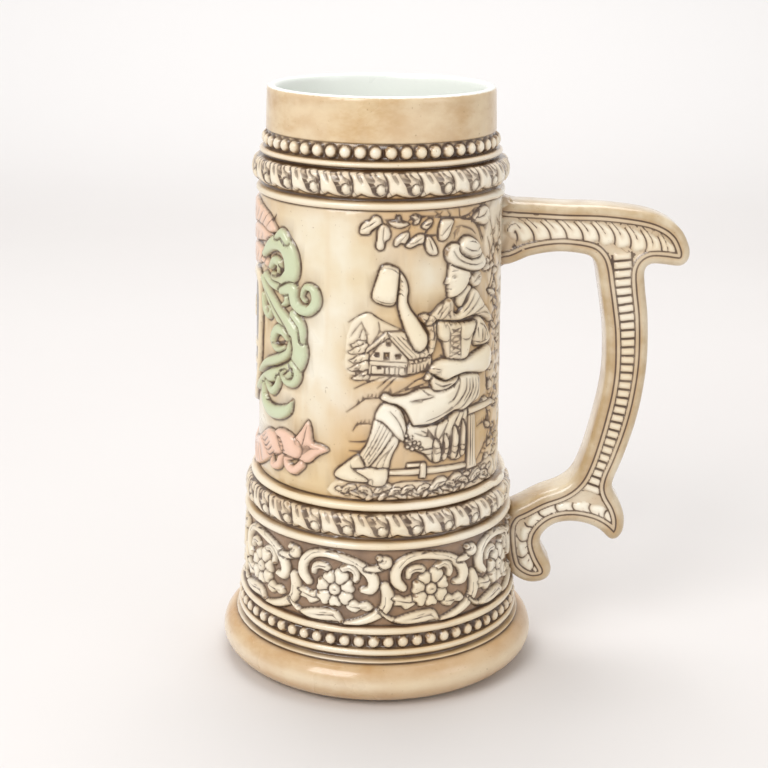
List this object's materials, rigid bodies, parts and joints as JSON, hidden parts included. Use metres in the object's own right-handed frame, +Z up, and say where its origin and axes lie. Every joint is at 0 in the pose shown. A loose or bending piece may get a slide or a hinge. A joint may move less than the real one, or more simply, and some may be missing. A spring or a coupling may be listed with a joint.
{
  "type": "relief beer stein",
  "caption": "Tall open beer stein of glazed pottery, with relief bands, a relief picture and a scrolled side handle with a thumb rest.",
  "frame": {"origin": "middle of the flat underside, on the axis of the vessel", "axes": "+Z up along the axis, +X toward the handle"},
  "size_m": [0.1475, 0.1024, 0.185],
  "materials": {
    "glazed_relief": "clear gloss glaze over cream relief with brown antiquing in the hollows, tan collar and foot, white inside"
  },
  "bodies": {
    "root": {"stein": "glazed_relief"}
  },
  "joints": []
}
